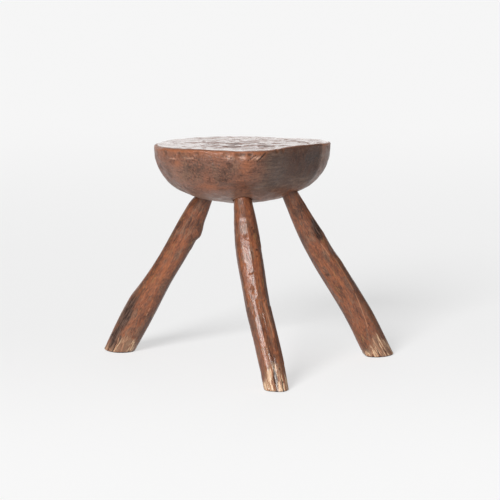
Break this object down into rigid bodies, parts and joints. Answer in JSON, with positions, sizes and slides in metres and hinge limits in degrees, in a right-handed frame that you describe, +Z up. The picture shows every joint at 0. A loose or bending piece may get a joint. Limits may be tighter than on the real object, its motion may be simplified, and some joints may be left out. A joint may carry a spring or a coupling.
{
  "type": "milking stool",
  "caption": "Rustic wooden milking stool with a thick hewn bowl-bottomed seat and splayed branch legs wedged into through mortises.",
  "frame": {"origin": "on the floor, at the middle of the bounding box in plan", "axes": "+Z up through the sitting face, -Y towards the front leg, +X towards the right leg"},
  "size_m": [0.4668, 0.3219, 0.35],
  "materials": {
    "seat_wood": "hand-hewn block, dark brown waxed patina, polished by wear on the sitting face and rim",
    "leg_wood": "peeled and knife-shaved branch, red-brown waxed patina, bare pale wood at the foot",
    "wedge_wood": "split hardwood, dark and worn flush"
  },
  "bodies": {
    "root": {"seat_block": "seat_wood", "leg_front": "leg_wood", "leg_left": "leg_wood", "leg_right": "leg_wood", "wedge_front": "wedge_wood", "wedge_left": "wedge_wood", "wedge_right": "wedge_wood"}
  },
  "joints": []
}
